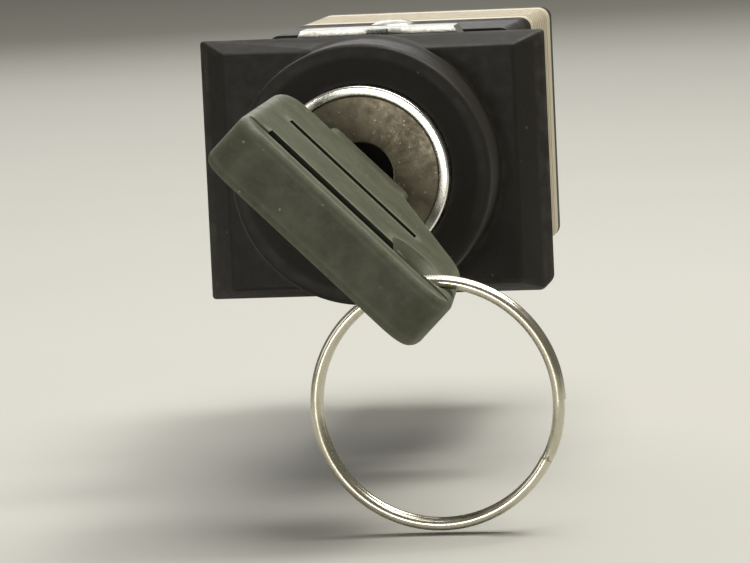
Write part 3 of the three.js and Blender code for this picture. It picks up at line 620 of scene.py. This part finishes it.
def makeBezel(b):
    bm = bmesh.new()
    low = [(-1, -1), (1, -1), (1, 1), (-1, 1)]
    base = [bm.verts.new((x * b["halfX"], y * b["halfY"], 0)) for x, y in low]
    topX, topY = b["halfX"] - b["sideSlope"], b["halfY"] - b["topSlope"]
    top = [bm.verts.new((x * topX, y * topY, b["height"])) for x, y in low]
    bm.faces.new(base[::-1])
    bm.faces.new(top)
    for k in range(4):
        n = (k + 1) % 4
        bm.faces.new((base[k], base[n], top[n], top[k]))
    cutAt = Vector((b["halfX"] - b["clippedCorner"] / 2, -b["halfY"] + b["clippedCorner"] / 2, 0))
    cut = bmesh.ops.bisect_plane(bm, geom=bm.verts[:] + bm.edges[:] + bm.faces[:], plane_co=cutAt,
                                 plane_no=(1, -1, 0), clear_outer=True)
    bmesh.ops.contextual_create(bm, geom=[e for e in cut["geom_cut"]
                                          if isinstance(e, bmesh.types.BMEdge)])
    sharp = [e for e in bm.edges if max(v.co.z for v in e.verts) > 0.01]
    bmesh.ops.bevel(bm, geom=sharp, offset=b["rim"], segments=3, profile=0.5, affect="EDGES",
                    clamp_overlap=True)
    piece = meshFrom("bezel", bm)
    top, edge, foot = b["bossTop"], b["bossEdge"], b["foot"]
    boss = turnedMesh("boss", [
        (0, -b["rear"]), (b["tail"], -b["rear"], b["tailEdge"]),
        (b["tail"], -b["threadEnd"], b["fineEdge"]),
        (b["threadRoot"], -b["threadEnd"] + 0.2, b["fineEdge"]), (b["threadRoot"], -0.2), (b["neck"], 0),
        (b["neck"], b["height"] / 2), (b["bossRadius"] + foot, b["height"] - b["footBelow"]),
        (b["bossRadius"], b["height"] + foot, foot), (b["bossRadius"], top, edge),
        (b["bossRadius"] - 2 * edge, top, b["dishEdge"]),
        (b["dishInner"], top - b["dishDepth"]), (0, top - b["dishDepth"]),
    ], fine)
    outline = roundedBox(b["halfX"] - b["gasketInset"], b["halfY"] - b["gasketInset"], b["gasketCorner"])
    recess = slabMesh("recess", outline, -1, b["gasketDepth"])
    carve(recess, [turnedMesh("neck", [(0, -2), (b["neck"], -2), (b["neck"], 2), (0, 2)], fine)])
    bore = turnedMesh("bore", [
        (0, -b["rear"] - 1), (b["bore"], -b["rear"] - 1), (b["bore"], -b["step"], b["fineEdge"]),
        (b["dishInner"], -b["step"], b["fineEdge"]), (b["dishInner"], top + 1), (0, top + 1),
    ], fine)
    carve(piece, [boss], "UNION")
    carve(piece, [recess, bore])
    place(piece.data, panelWay)
    return shaded(piece, 30)


thread = {"depth": 0.48, "pitch": 1.0, "from": -0.5, "to": -7.8}


def ridgeValues(radius, depth, width, run, pitch, steps):
    # a four-sided wire half sunk in a barrel or shank makes the thread's ridge
    return {"Radius": radius, "Across": 2 * depth, "Along": width, "Length": run, "Turns": run / pitch,
            "Closing": 0.0, "Spread": 0.5, "Crowd": 0.0, "Sides": 4, "Steps": steps}


def makeThread(t):
    run = t["from"] - t["to"]
    values = ridgeValues(bezel["threadRoot"], t["depth"], 0.95 * t["pitch"], run, t["pitch"], 72)
    return grow("barrelThread", woundWire, values, "black_plastic", at(0, 0, t["to"]))


settle(joined(makeBezel(bezel), makeThread(thread)), "black_plastic", "bezel_case")
print("bezel made")


# lock cylinder with its polished rim
cylinder = {"rim": 6.1, "lip": 5.45, "top": 8.1, "rimEdge": 0.18, "lipEdge": 0.1, "shell": 6.6,
            "step": 5.05, "rear": 13, "bore": 5.25, "headSeat": 6.5}


def makeCylinder(c):
    piece = turnedMesh("lockCylinder", [
        (c["bore"], -c["rear"], 0.15), (c["shell"], -c["rear"], 0.25), (c["shell"], -c["step"], 0.1),
        (c["rim"], -c["step"], 0.1), (c["rim"], c["top"], c["rimEdge"]),
        (c["lip"], c["top"], c["lipEdge"]), (c["lip"], c["headSeat"], 0.05),
        (c["bore"], c["headSeat"], 0.05),
    ], fine, closed=True, way=keyWay)
    return shaded(piece, 40)


settle(makeCylinder(cylinder), "polished_nickel", "lock_cylinder")

# lock plug: turned face with the keyway
plugLow, plugHigh = (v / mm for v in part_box("lock_plug"))
plug = {"head": 5.4, "headLength": 1.2, "body": 5.2, "face": -plugLow.y, "faceEdge": 0.14, "mouth": 2.35,
        "mouthDepth": 2.6, "mouthFloor": 2.2, "halfLength": 2.9, "halfWidth": 0.85, "rear": 13.1,
        "neck": 3.4, "neckEnd": 13.8, "tail": 2, "end": plugHigh.y, "waferHalf": 2.4, "waferSlot": 1.0,
        "waferFirst": 3.2, "waferPitch": 3.6, "wafers": 4, "keywayEnd": 12.7, "lipWidth": 0.12,
        "pocketHalf": 2, "pocketDepth": 0.65, "pocketGap": 0.55, "shadeStart": 0.25}


def makePlug(p):
    face = p["face"]
    body = turnedMesh("lockPlug", [
        (0, -p["neckEnd"]), (p["neck"], -p["neckEnd"], 0.1), (p["neck"], -p["rear"]),
        (p["body"], -p["rear"], 0.15), (p["body"], face - p["headLength"]),
        (p["head"], face - p["headLength"], 0.05), (p["head"], face, p["faceEdge"]), (0, face),
    ], fine)
    tail = slabMesh("tail", roundedBox(p["tail"], p["tail"], 0.25), -p["end"], -p["neckEnd"] + 0.3)
    mouth = turnedMesh("mouth", [
        (0, face - p["mouthDepth"]), (p["mouthFloor"], face - p["mouthDepth"], 0.15),
        (p["mouth"] - p["lipWidth"], face - p["lipWidth"], 0.1), (p["mouth"] + 0.1, face + 0.1),
        (p["mouth"] + 0.1, face + 1), (0, face + 1)])
    opening = roundedBox(p["halfLength"], p["halfWidth"], 0.2)
    keyway = slabMesh("keyway", opening, -p["keywayEnd"], face + 1)
    slots = []
    for i in range(p["wafers"]):
        middle = p["waferFirst"] - i * p["waferPitch"]
        ends = middle - p["waferSlot"] / 2, middle + p["waferSlot"] / 2
        slots.append(slabMesh("slot", roundedBox(p["body"] + 1, p["waferHalf"], 0.1), *ends))
        pocket = [(x, y + p["waferHalf"] + p["pocketGap"])
                  for x, y in roundedBox(p["pocketHalf"], p["pocketDepth"], 0.1)]
        slots.append(slabMesh("pocket", pocket, *ends))
    carve(body, [tail], "UNION")
    carve(body, [mouth, keyway, *slots])
    place(body.data, keyWay)
    soften(body, 0.05, 2, 40)
    body.data.materials.append(finishes["plug_metal"])
    body.data.materials.append(keywayShade)
    # painted shade lies in the mouth, from a little below its lip: those faces get a near-black material
    for face in body.data.polygons:
        inMouth = math.hypot(face.center.x, face.center.z) / mm < p["mouth"] + 0.05
        sunk = -p["shadeStart"] > -face.center.y / mm - p["face"] > -p["mouthDepth"] - 1
        face.material_index = int(inMouth and sunk)
    return body


settle(makePlug(plug), "plug_metal", "lock_plug")
print("lock made")

# key: moulded bow and metal blade
bow = {"left": 6.9, "flare": 0.4, "right": 10.9, "top": 32.6, "base": 13.6, "baseLeft": 4.9,
       "baseRight": 3.6, "baseCurve": 0.6, "shoulder": 6, "shoulderIn": 1, "shoulderCurve": 0.9,
       "corner": 2.4, "thickness": 4.1, "edge": 0.7, "bar": 2.1, "barDrop": 0.15, "web": 1.05,
       "panelStart": -5, "panelEnd": 6, "panelWidth": 6.6, "groove": 1.1, "neckX": 3.55, "neckY": 1.5,
       "neckEnd": 8.6, "eyeAlong": 7.57, "eyeHeight": 28.2, "eyeRadius": 1.6, "eyeFlare": 0.9,
       "eyeFlareDepth": 0.85, "bladeX": 2.85, "bladeY": 0.8, "bladeInBow": 9}


def bend(a, corner, b, steps=8):
    a, corner, b = Vector(a), Vector(corner), Vector(b)
    shares = [k / steps for k in range(steps + 1)]
    return [a * (1 - t) ** 2 + corner * 2 * t * (1 - t) + b * t * t for t in shares]


def bowOutline(b, inset):
    right, left = b["right"] - inset, -b["left"] + inset
    top, base, r = b["top"] - inset, b["base"] + inset, b["corner"]
    slope, small, large = inset * 0.5, b["baseCurve"], b["shoulderCurve"]
    shoulder, shoulderTop = right - b["shoulderIn"], base + b["shoulder"]
    points = bend((b["baseRight"] - slope - small, base), (b["baseRight"] - slope, base),
                  (b["baseRight"] - slope + small, base + 0.5), 3)
    points += bend((shoulder - large, shoulderTop - large - slope), (shoulder, shoulderTop),
                   (shoulder + 0.2, shoulderTop + 1.4))
    points += bend((right, top - r * 1.4), (right, top), (right - r, top))
    points += bend((left + r, top), (left, top), (left, top - r))
    points += bend((left - b["flare"], base + r * 1.5), (left - b["flare"], base),
                   (-b["baseLeft"] + slope, base))
    return [(p.x, p.y) for p in points]


# a drawing in x and height becomes a slab across the bow
upright = Matrix.Rotation(math.radians(90), 4, "X")


def grooveTops(b):
    top = b["top"] - b["bar"]
    return top, top - b["groove"] - b["panelWidth"]


def flankTools(b, side):
    # one flank's lowered bar and the two deep grooves that part it into panels
    top, reach = grooveTops(b)[0], side * b["thickness"]
    bar = [(-b["top"], top), (b["top"], top), (b["top"], b["top"] + 1), (-b["top"], b["top"] + 1)]
    tools = [slabMesh("bar", bar, *sorted((side * (b["thickness"] / 2 - b["barDrop"]), reach)))]
    for high in grooveTops(b):
        low = high - b["groove"]
        outline = [(b["panelStart"], low), (b["panelEnd"], low),
                   (b["panelEnd"], high), (b["panelStart"], high)]
        tools.append(slabMesh("groove", outline, *sorted((side * b["web"], reach))))
    return tools


def makeBow(b):
    half = b["thickness"] / 2
    piece = slabMesh("keyBow", bowOutline(b, 0), -half, half, b["edge"], 6)
    neck = slabMesh("neck", roundedBox(b["neckX"], b["neckY"], 0.5), b["neckEnd"], b["base"] + 2, 0.3, 3)
    neck.data.transform(upright.inverted())
    wide, waist = b["eyeRadius"] + b["eyeFlare"], half - b["eyeFlareDepth"]
    eye = turnedMesh("eye", [
        (0, -half - 1), (wide, -half - 1), (wide, -half, 0.3), (b["eyeRadius"], -waist, 0.5),
        (b["eyeRadius"], waist, 0.5), (wide, half, 0.3), (wide, half + 1), (0, half + 1)], 72)
    eye.data.transform(Matrix.Translation((b["eyeAlong"], b["eyeHeight"], 0)))
    socket = slabMesh("socket", roundedBox(b["bladeX"], b["bladeY"], 0.05), b["neckEnd"] - 1,
                      b["base"] + b["bladeInBow"])
    socket.data.transform(upright.inverted())
    carve(piece, [neck], "UNION")
    carve(piece, [*flankTools(b, 1), *flankTools(b, -1), eye, socket])
    cleaned(piece)
    place(piece.data, keyWay @ upright)
    return soften(piece, 0.12, 3, 28)


def darkenGrooves(piece, b):
    # painted shade darkens the flank grooves: every face sunk between a groove's two rims
    piece.data.materials.append(finishes["bow_plastic"])
    piece.data.materials.append(grooveShade)
    back = (keyWay @ upright).inverted() @ Matrix.Scale(1 / mm, 4)
    for face in piece.data.polygons:
        spot = back @ face.center
        sunk = b["web"] - 0.05 < abs(spot.z) < b["thickness"] / 2 - 0.04
        along = b["panelStart"] - 0.1 < spot.x < b["panelEnd"] + 0.1
        inGroove = any(high - b["groove"] - 0.03 < spot.y < high + 0.03 for high in grooveTops(b))
        face.material_index = int(sunk and along and inGroove)
    return piece


settle(darkenGrooves(makeBow(bow), bow), "bow_plastic", "key_bow")
edged("key_blade", "keyBlade", "polished_nickel", 0.08)
print("key made")

# split ring: two turns that lie on each other, with one step between them
ring = {"radius": 7.75, "wire": 0.75, "gapInTurns": 0.08, "along": 7.57, "across": -3.75, "height": 28.2,
        "splitAt": 45}
ringAlong = ring["along"] + math.sqrt(ring["radius"] ** 2 - ring["across"] ** 2)
ringWay = at(ringAlong, ring["across"], ring["height"] - ring["wire"] / 2, keyWay)
keyRing = grow("keyRing", woundWire, {
    "Radius": ring["radius"], "Across": ring["wire"], "Along": ring["wire"] * 0.97,
    "Length": ring["wire"], "Turns": 2 - ring["gapInTurns"], "Closing": 1.0,
    "Spread": ring["gapInTurns"] / 4, "Crowd": 0.0, "Sides": 16, "Steps": 160,
}, "polished_nickel", ringWay, Matrix.Rotation(math.radians(ring["splitAt"]), 4, "Z"))
keyRing.data.materials[0] = wornNickel
settle(keyRing, "polished_nickel", "key_ring")

washer = {"Inner": 7.95, "Rim": 8.6, "Outer": 9.25, "Thickness": 0.5, "Teeth": 12, "ToothWidth": 1.4,
          "Twist": 0.14}
washerHeight = -2.35
settle(grow("lockWasher", toothedRing, washer, "spring_steel", at(0, 0, washerHeight)),
       "spring_steel", "lock_washer")
print("ring and washer grown")

# coils, each with its closer end turns; radius is the outside
endCrowding = 0.85
coils = {
    "wafer": {"radius": 0.42, "wire": 0.15, "length": 3.5, "turns": 9},
    "detent": {"radius": 0.68, "wire": 0.18, "length": 1.8, "turns": 5},
    "bridge": {"radius": 0.95, "wire": 0.2, "length": 4.3, "turns": 6},
    "return": {"radius": 1.25, "wire": 0.24, "length": 3.0, "turns": 4},
}
lieDown = Matrix.Rotation(math.radians(90), 4, "Y")


def makeCoil(name, coil, way=None, turn=None):
    room = coil["wire"] * coil["turns"] / coil["length"]
    values = {"Radius": coil["radius"] - coil["wire"] / 2, "Across": coil["wire"], "Along": coil["wire"],
              "Length": coil["length"] - coil["wire"], "Turns": float(coil["turns"]), "Closing": 0.0,
              "Crowd": endCrowding - room, "Spread": 0.5, "Sides": 10, "Steps": 24}
    start = Matrix.Translation((0, 0, coil["wire"] / 2))
    return grow(name, woundWire, values, "spring_steel", way, turn @ start if turn else start)


def inRow(name, tool, slotName, way, nodes, step):
    values = {"Piece": tool, "Count": len(nodes), "Step": step, "Turn": 0.0}
    return settle(grow(name, rowOfCopies, values, slotName, way), slotName, *nodes)


# wafers and their springs, a row of four along the plug
wafer = {"radius": 5.18, "half": 2.3, "thickness": 0.8, "windowX": 3.25, "windowY": 0.95, "corner": 0.25,
         "springAcross": 3.0}


def makeWafer(w):
    reach = math.asin(w["half"] / w["radius"])
    angles = [reach * (k / 12 - 1) for k in range(25)]
    outline = [(w["radius"] * math.cos(a), w["radius"] * math.sin(a)) for a in angles]
    outline += [(-x, -y) for x, y in outline]
    piece = slabMesh("oneWafer", outline, -w["thickness"] / 2, w["thickness"] / 2, 0.06, 2)
    window = roundedBox(w["windowX"], w["windowY"], w["corner"])
    return carve(piece, [slabMesh("window", window, -1, 1)])


waferStep = (0, 0, -plug["waferPitch"])
inRow("wafers", makeWafer(wafer), "brass", at(0, 0, plug["waferFirst"], keyWay),
      [f"wafer_{i + 1}" for i in range(plug["wafers"])], waferStep)
inRow("waferSprings", makeCoil("oneSpring", coils["wafer"], None, lieDown), "spring_steel",
      at(-coils["wafer"]["length"] / 2, wafer["springAcross"], plug["waferFirst"], keyWay),
      [f"wafer_spring_{i + 1}" for i in range(plug["wafers"])], waferStep)
detent = {"springAt": 8.18, "height": -15.8}
detentWay = at(detent["springAt"], 0, detent["height"], keyWay) @ lieDown
settle(makeCoil("detentSpring", coils["detent"], detentWay), "spring_steel", "detent_spring")

# contact columns: the springs of each plunger
column = {"across": 4.3, "bridgeSpringRear": {"no": -27.79, "nc": -28.24},
          "returnSpringRear": -32.29, "stroke": 1.8}
for name, side in (("no", 1), ("nc", -1)):
    camel = name.capitalize()
    x = side * column["across"]
    bridgeWay, returnWay = at(x, 0, column["bridgeSpringRear"][name]), at(x, 0, column["returnSpringRear"])
    settle(makeCoil("bridgeSpring" + camel, coils["bridge"], bridgeWay),
           "spring_steel", "bridge_spring_" + name)
    spring = settle(makeCoil("returnSpring" + camel, coils["return"], returnWay),
                    "spring_steel", "return_spring_" + name)
    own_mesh(spring)
print("wafers and springs grown")

# slotted screws; z runs from the head to the tip
screws = {
    "block": {"head": 1.25, "headHeight": 0.9, "shank": 0.75, "length": 21.25, "slot": 0.34, "threadAt": 13,
              "threadDepth": 0.12, "pitch": 0.5},
    "clamp": {"head": 1.6, "headHeight": 0.7, "shank": 0.75, "length": 2.38, "slot": 0.4, "threadAt": 1,
              "threadDepth": 0.1, "pitch": 0.4},
    "cam": {"head": 2.6, "headHeight": 1.1, "shank": 1.0, "length": 3.12, "slot": 0.5, "threadAt": 1.4,
            "threadDepth": 0.12, "pitch": 0.45},
}
screwPlaces = {"blockAcross": 7.4, "blockRear": -34.58, "camRear": -18.14, "clampUp": 9.4,
               "clampRear": -10.75}
slotDepth = 0.55  # shares of the head's height
bevelHeight = 0.42


def makeScrew(name, s):
    core = s["shank"] - s["threadDepth"]
    piece = turnedMesh(name, [
        (0, 0), (s["head"] * 0.55, 0, 0.3), (s["head"], s["headHeight"] * bevelHeight, 0.3),
        (s["head"], s["headHeight"], 0.08), (s["shank"], s["headHeight"], 0.05),
        (s["shank"], s["threadAt"], 0.05), (core, s["threadAt"] + 0.05),
        (core, s["length"] - 0.3), (core - 0.3, s["length"], 0.05), (0, s["length"])], 40)
    half, reach = s["slot"] / 2, s["head"] + 1
    slot = [(-reach, -half), (reach, -half), (reach, half), (-reach, half)]
    carve(piece, [slabMesh("slot", slot, -1, s["headHeight"] * slotDepth)])
    run = s["length"] - 0.45 - s["threadAt"]
    values = ridgeValues(core, s["threadDepth"], s["pitch"] * 0.8, run, s["pitch"], 24)
    start = Matrix.Translation((0, 0, s["threadAt"] + 0.1))
    ridge = grow("ridge", woundWire, values, "zinc_steel", None, start)
    piece.data.materials.append(finishes["zinc_steel"])
    return shaded(joined(piece, ridge))


def settledScrew(name, kind, way, node):
    piece = makeScrew(name, screws[kind])
    place(piece.data, way)
    settle(piece, "zinc_steel", node)


oneScrew = makeScrew("oneScrew", screws["block"])
across = screwPlaces["blockAcross"]
oneScrew.data.transform(Matrix.Translation((across, across, screwPlaces["blockRear"])))
screwPair = {"Piece": oneScrew, "Count": 2, "Step": (0, 0, 0), "Turn": math.pi}
settle(grow("blockScrews", rowOfCopies, screwPair, "zinc_steel", panelWay), "zinc_steel",
       "block_screw_1", "block_screw_2")
settledScrew("camScrew", "cam", at(0, 0, screwPlaces["camRear"], keyWay), "cam_screw")
clampWay = at(0, screwPlaces["clampUp"], screwPlaces["clampRear"]) @ upright
settledScrew("clampScrew", "clamp", clampWay, "clamp_screw")
print("screws grown")

# moulded grip grooves round the block; first is the height of the first one
block = {"half": 8.7, "corner": 0.5}
grips = {
    "adapter": {"first": -17.6, "step": 0.9, "count": 3, "width": 0.4, "depth": 0.16},
    "case": {"first": -22.2, "step": 1.1, "count": 8, "width": 0.5, "depth": 0.18},
}


def gripTools(g):
    outer, inner = block["half"] + 1, block["half"] - g["depth"]
    band = slabMesh("band", roundedBox(outer, outer, block["corner"]), g["first"] - g["width"], g["first"])
    core = slabMesh("core", roundedBox(inner, inner, block["corner"]), g["first"] - 2, g["first"] + 2)
    values = {"Piece": carve(band, [core]), "Count": g["count"], "Step": (0, 0, -g["step"]), "Turn": 0.0}
    return [grow("grooves", rowOfCopies, values, "cream_plastic", panelWay)]


# the rest keep their frame shapes, with rounded edges: node, new name, finish, edge width
edgedPieces = [
    ("panel_gasket", "panelGasket", "rubber", 0.08), ("mounting_nut", "mountingNut", "zinc_steel", 0.12),
    ("plug_clip", "plugClip", "spring_steel", 0.08), ("drive_cam", "driveCam", "red_plastic", 0.1),
    ("block_adapter", "blockAdapter", "black_plastic", 0.25, gripTools(grips["adapter"])),
    ("contact_case", "contactCase", "cream_plastic", 0.2, gripTools(grips["case"])),
    ("block_cover", "blockCover", "black_plastic", 0.2),
]
for name in ("no", "nc"):
    camel = name.capitalize()
    edgedPieces += [("plunger_" + name, "plunger" + camel, "red_plastic", 0.1),
                    ("bridge_" + name, "bridge" + camel, "brass", 0.06)]
    for i in (1, 2):
        edgedPieces += [(f"terminal_{name}_{i}", f"terminal{camel}{i}", "brass", 0.08),
                        (f"moving_tip_{name}_{i}", f"movingTip{camel}{i}", "silver", 0.08),
                        (f"fixed_tip_{name}_{i}", f"fixedTip{camel}{i}", "silver", 0.08)]
for piece in edgedPieces:
    edged(*piece)


def makeBall():
    # a ball of even facets where the frame node has few
    low, high = (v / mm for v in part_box("detent_ball"))
    bm = bmesh.new()
    bmesh.ops.create_icosphere(bm, subdivisions=4, radius=(high.x - low.x) / 2)
    piece = meshFrom("detentBall", bm)
    place(piece.data, Matrix.Translation((low + high) / 2 * mm))
    return shaded(piece)


settle(makeBall(), "zinc_steel", "detent_ball")
print("inner pieces made")

# floor, camera and soft light
studio = {
    "camera": (49.8, -326, 28.2), "aim": (1.95, -16, -6.3), "lens": 229.8, "roll": -2.66,
    "floorRadius": 3.0, "floorDrop": 0.3, "roomColour": (0.62, 0.6, 0.52, 1), "roomStrength": 0.27,
    "lights": {  # place, size, power, colour
        "overhead": ((60, 10, 420), (400, 300), 1.75, (1, 0.99, 0.95)),
        "fromRight": ((200, 90, 400), (160, 160), 1.1, (1, 0.98, 0.94)),
        "fromLeft": ((-420, -260, 180), (240, 240), 0.25, (1, 1, 1)),
        "front": ((-60, -390, 6), (130, 44), 0.34, (1, 0.96, 0.88)),
        "behind": ((-120, 420, 220), (300, 240), 0.5, (1, 1, 1)),
    },
}


def makeCamera(s):
    data = bpy.data.cameras.new("camera")
    data.lens = s["lens"]
    data.sensor_width = 36
    camera = bpy.data.objects.new("camera", data)
    scene.collection.objects.link(camera)
    camera.location = Vector(s["camera"]) * mm
    look = Vector(s["aim"]) * mm - camera.location
    camera.rotation_mode = "QUATERNION"
    roll = Matrix.Rotation(math.radians(s["roll"]), 3, "Z").to_quaternion()
    camera.rotation_quaternion = look.to_track_quat("-Z", "Y") @ roll
    data.clip_start = 0.01
    data.clip_end = 20
    scene.camera = camera


def makeFloor(s):
    bm = bmesh.new()
    bmesh.ops.create_circle(bm, cap_ends=True, segments=64, radius=s["floorRadius"])
    floor = meshFrom("floor", bm)
    floor.location.z = cadLow.z - s["floorDrop"] * mm
    f = Finish("palePaper", (0.5, 0.49, 0.45), 0.7)
    f.tint(f.ramp(f.noise(0.02, 3), 0.3, 0.7, 0, 0.3), (0.46, 0.45, 0.41))
    floor.data.materials.append(f.material)


def makeLight(name, spot, size, power, colour):
    data = bpy.data.lights.new(name, "AREA")
    data.shape = "RECTANGLE"
    data.size, data.size_y = size[0] * mm, size[1] * mm
    data.energy = power
    data.color = colour
    light = bpy.data.objects.new(name, data)
    scene.collection.objects.link(light)
    light.location = Vector(spot) * mm
    light.rotation_euler = (-light.location).to_track_quat("-Z", "Y").to_euler()
    light.visible_diffuse = name != "front"  # the front one only gives the metal something to mirror


def makeStudio(s):
    makeCamera(s)
    makeFloor(s)
    for name, values in s["lights"].items():
        makeLight(name, *values)
    world = bpy.data.worlds.new("room")
    world.use_nodes = True
    background = world.node_tree.nodes["Background"]
    background.inputs["Color"].default_value = s["roomColour"]
    background.inputs["Strength"].default_value = s["roomStrength"]
    scene.world = world
    scene.view_settings.view_transform = "Standard"


makeStudio(studio)
print("studio made")
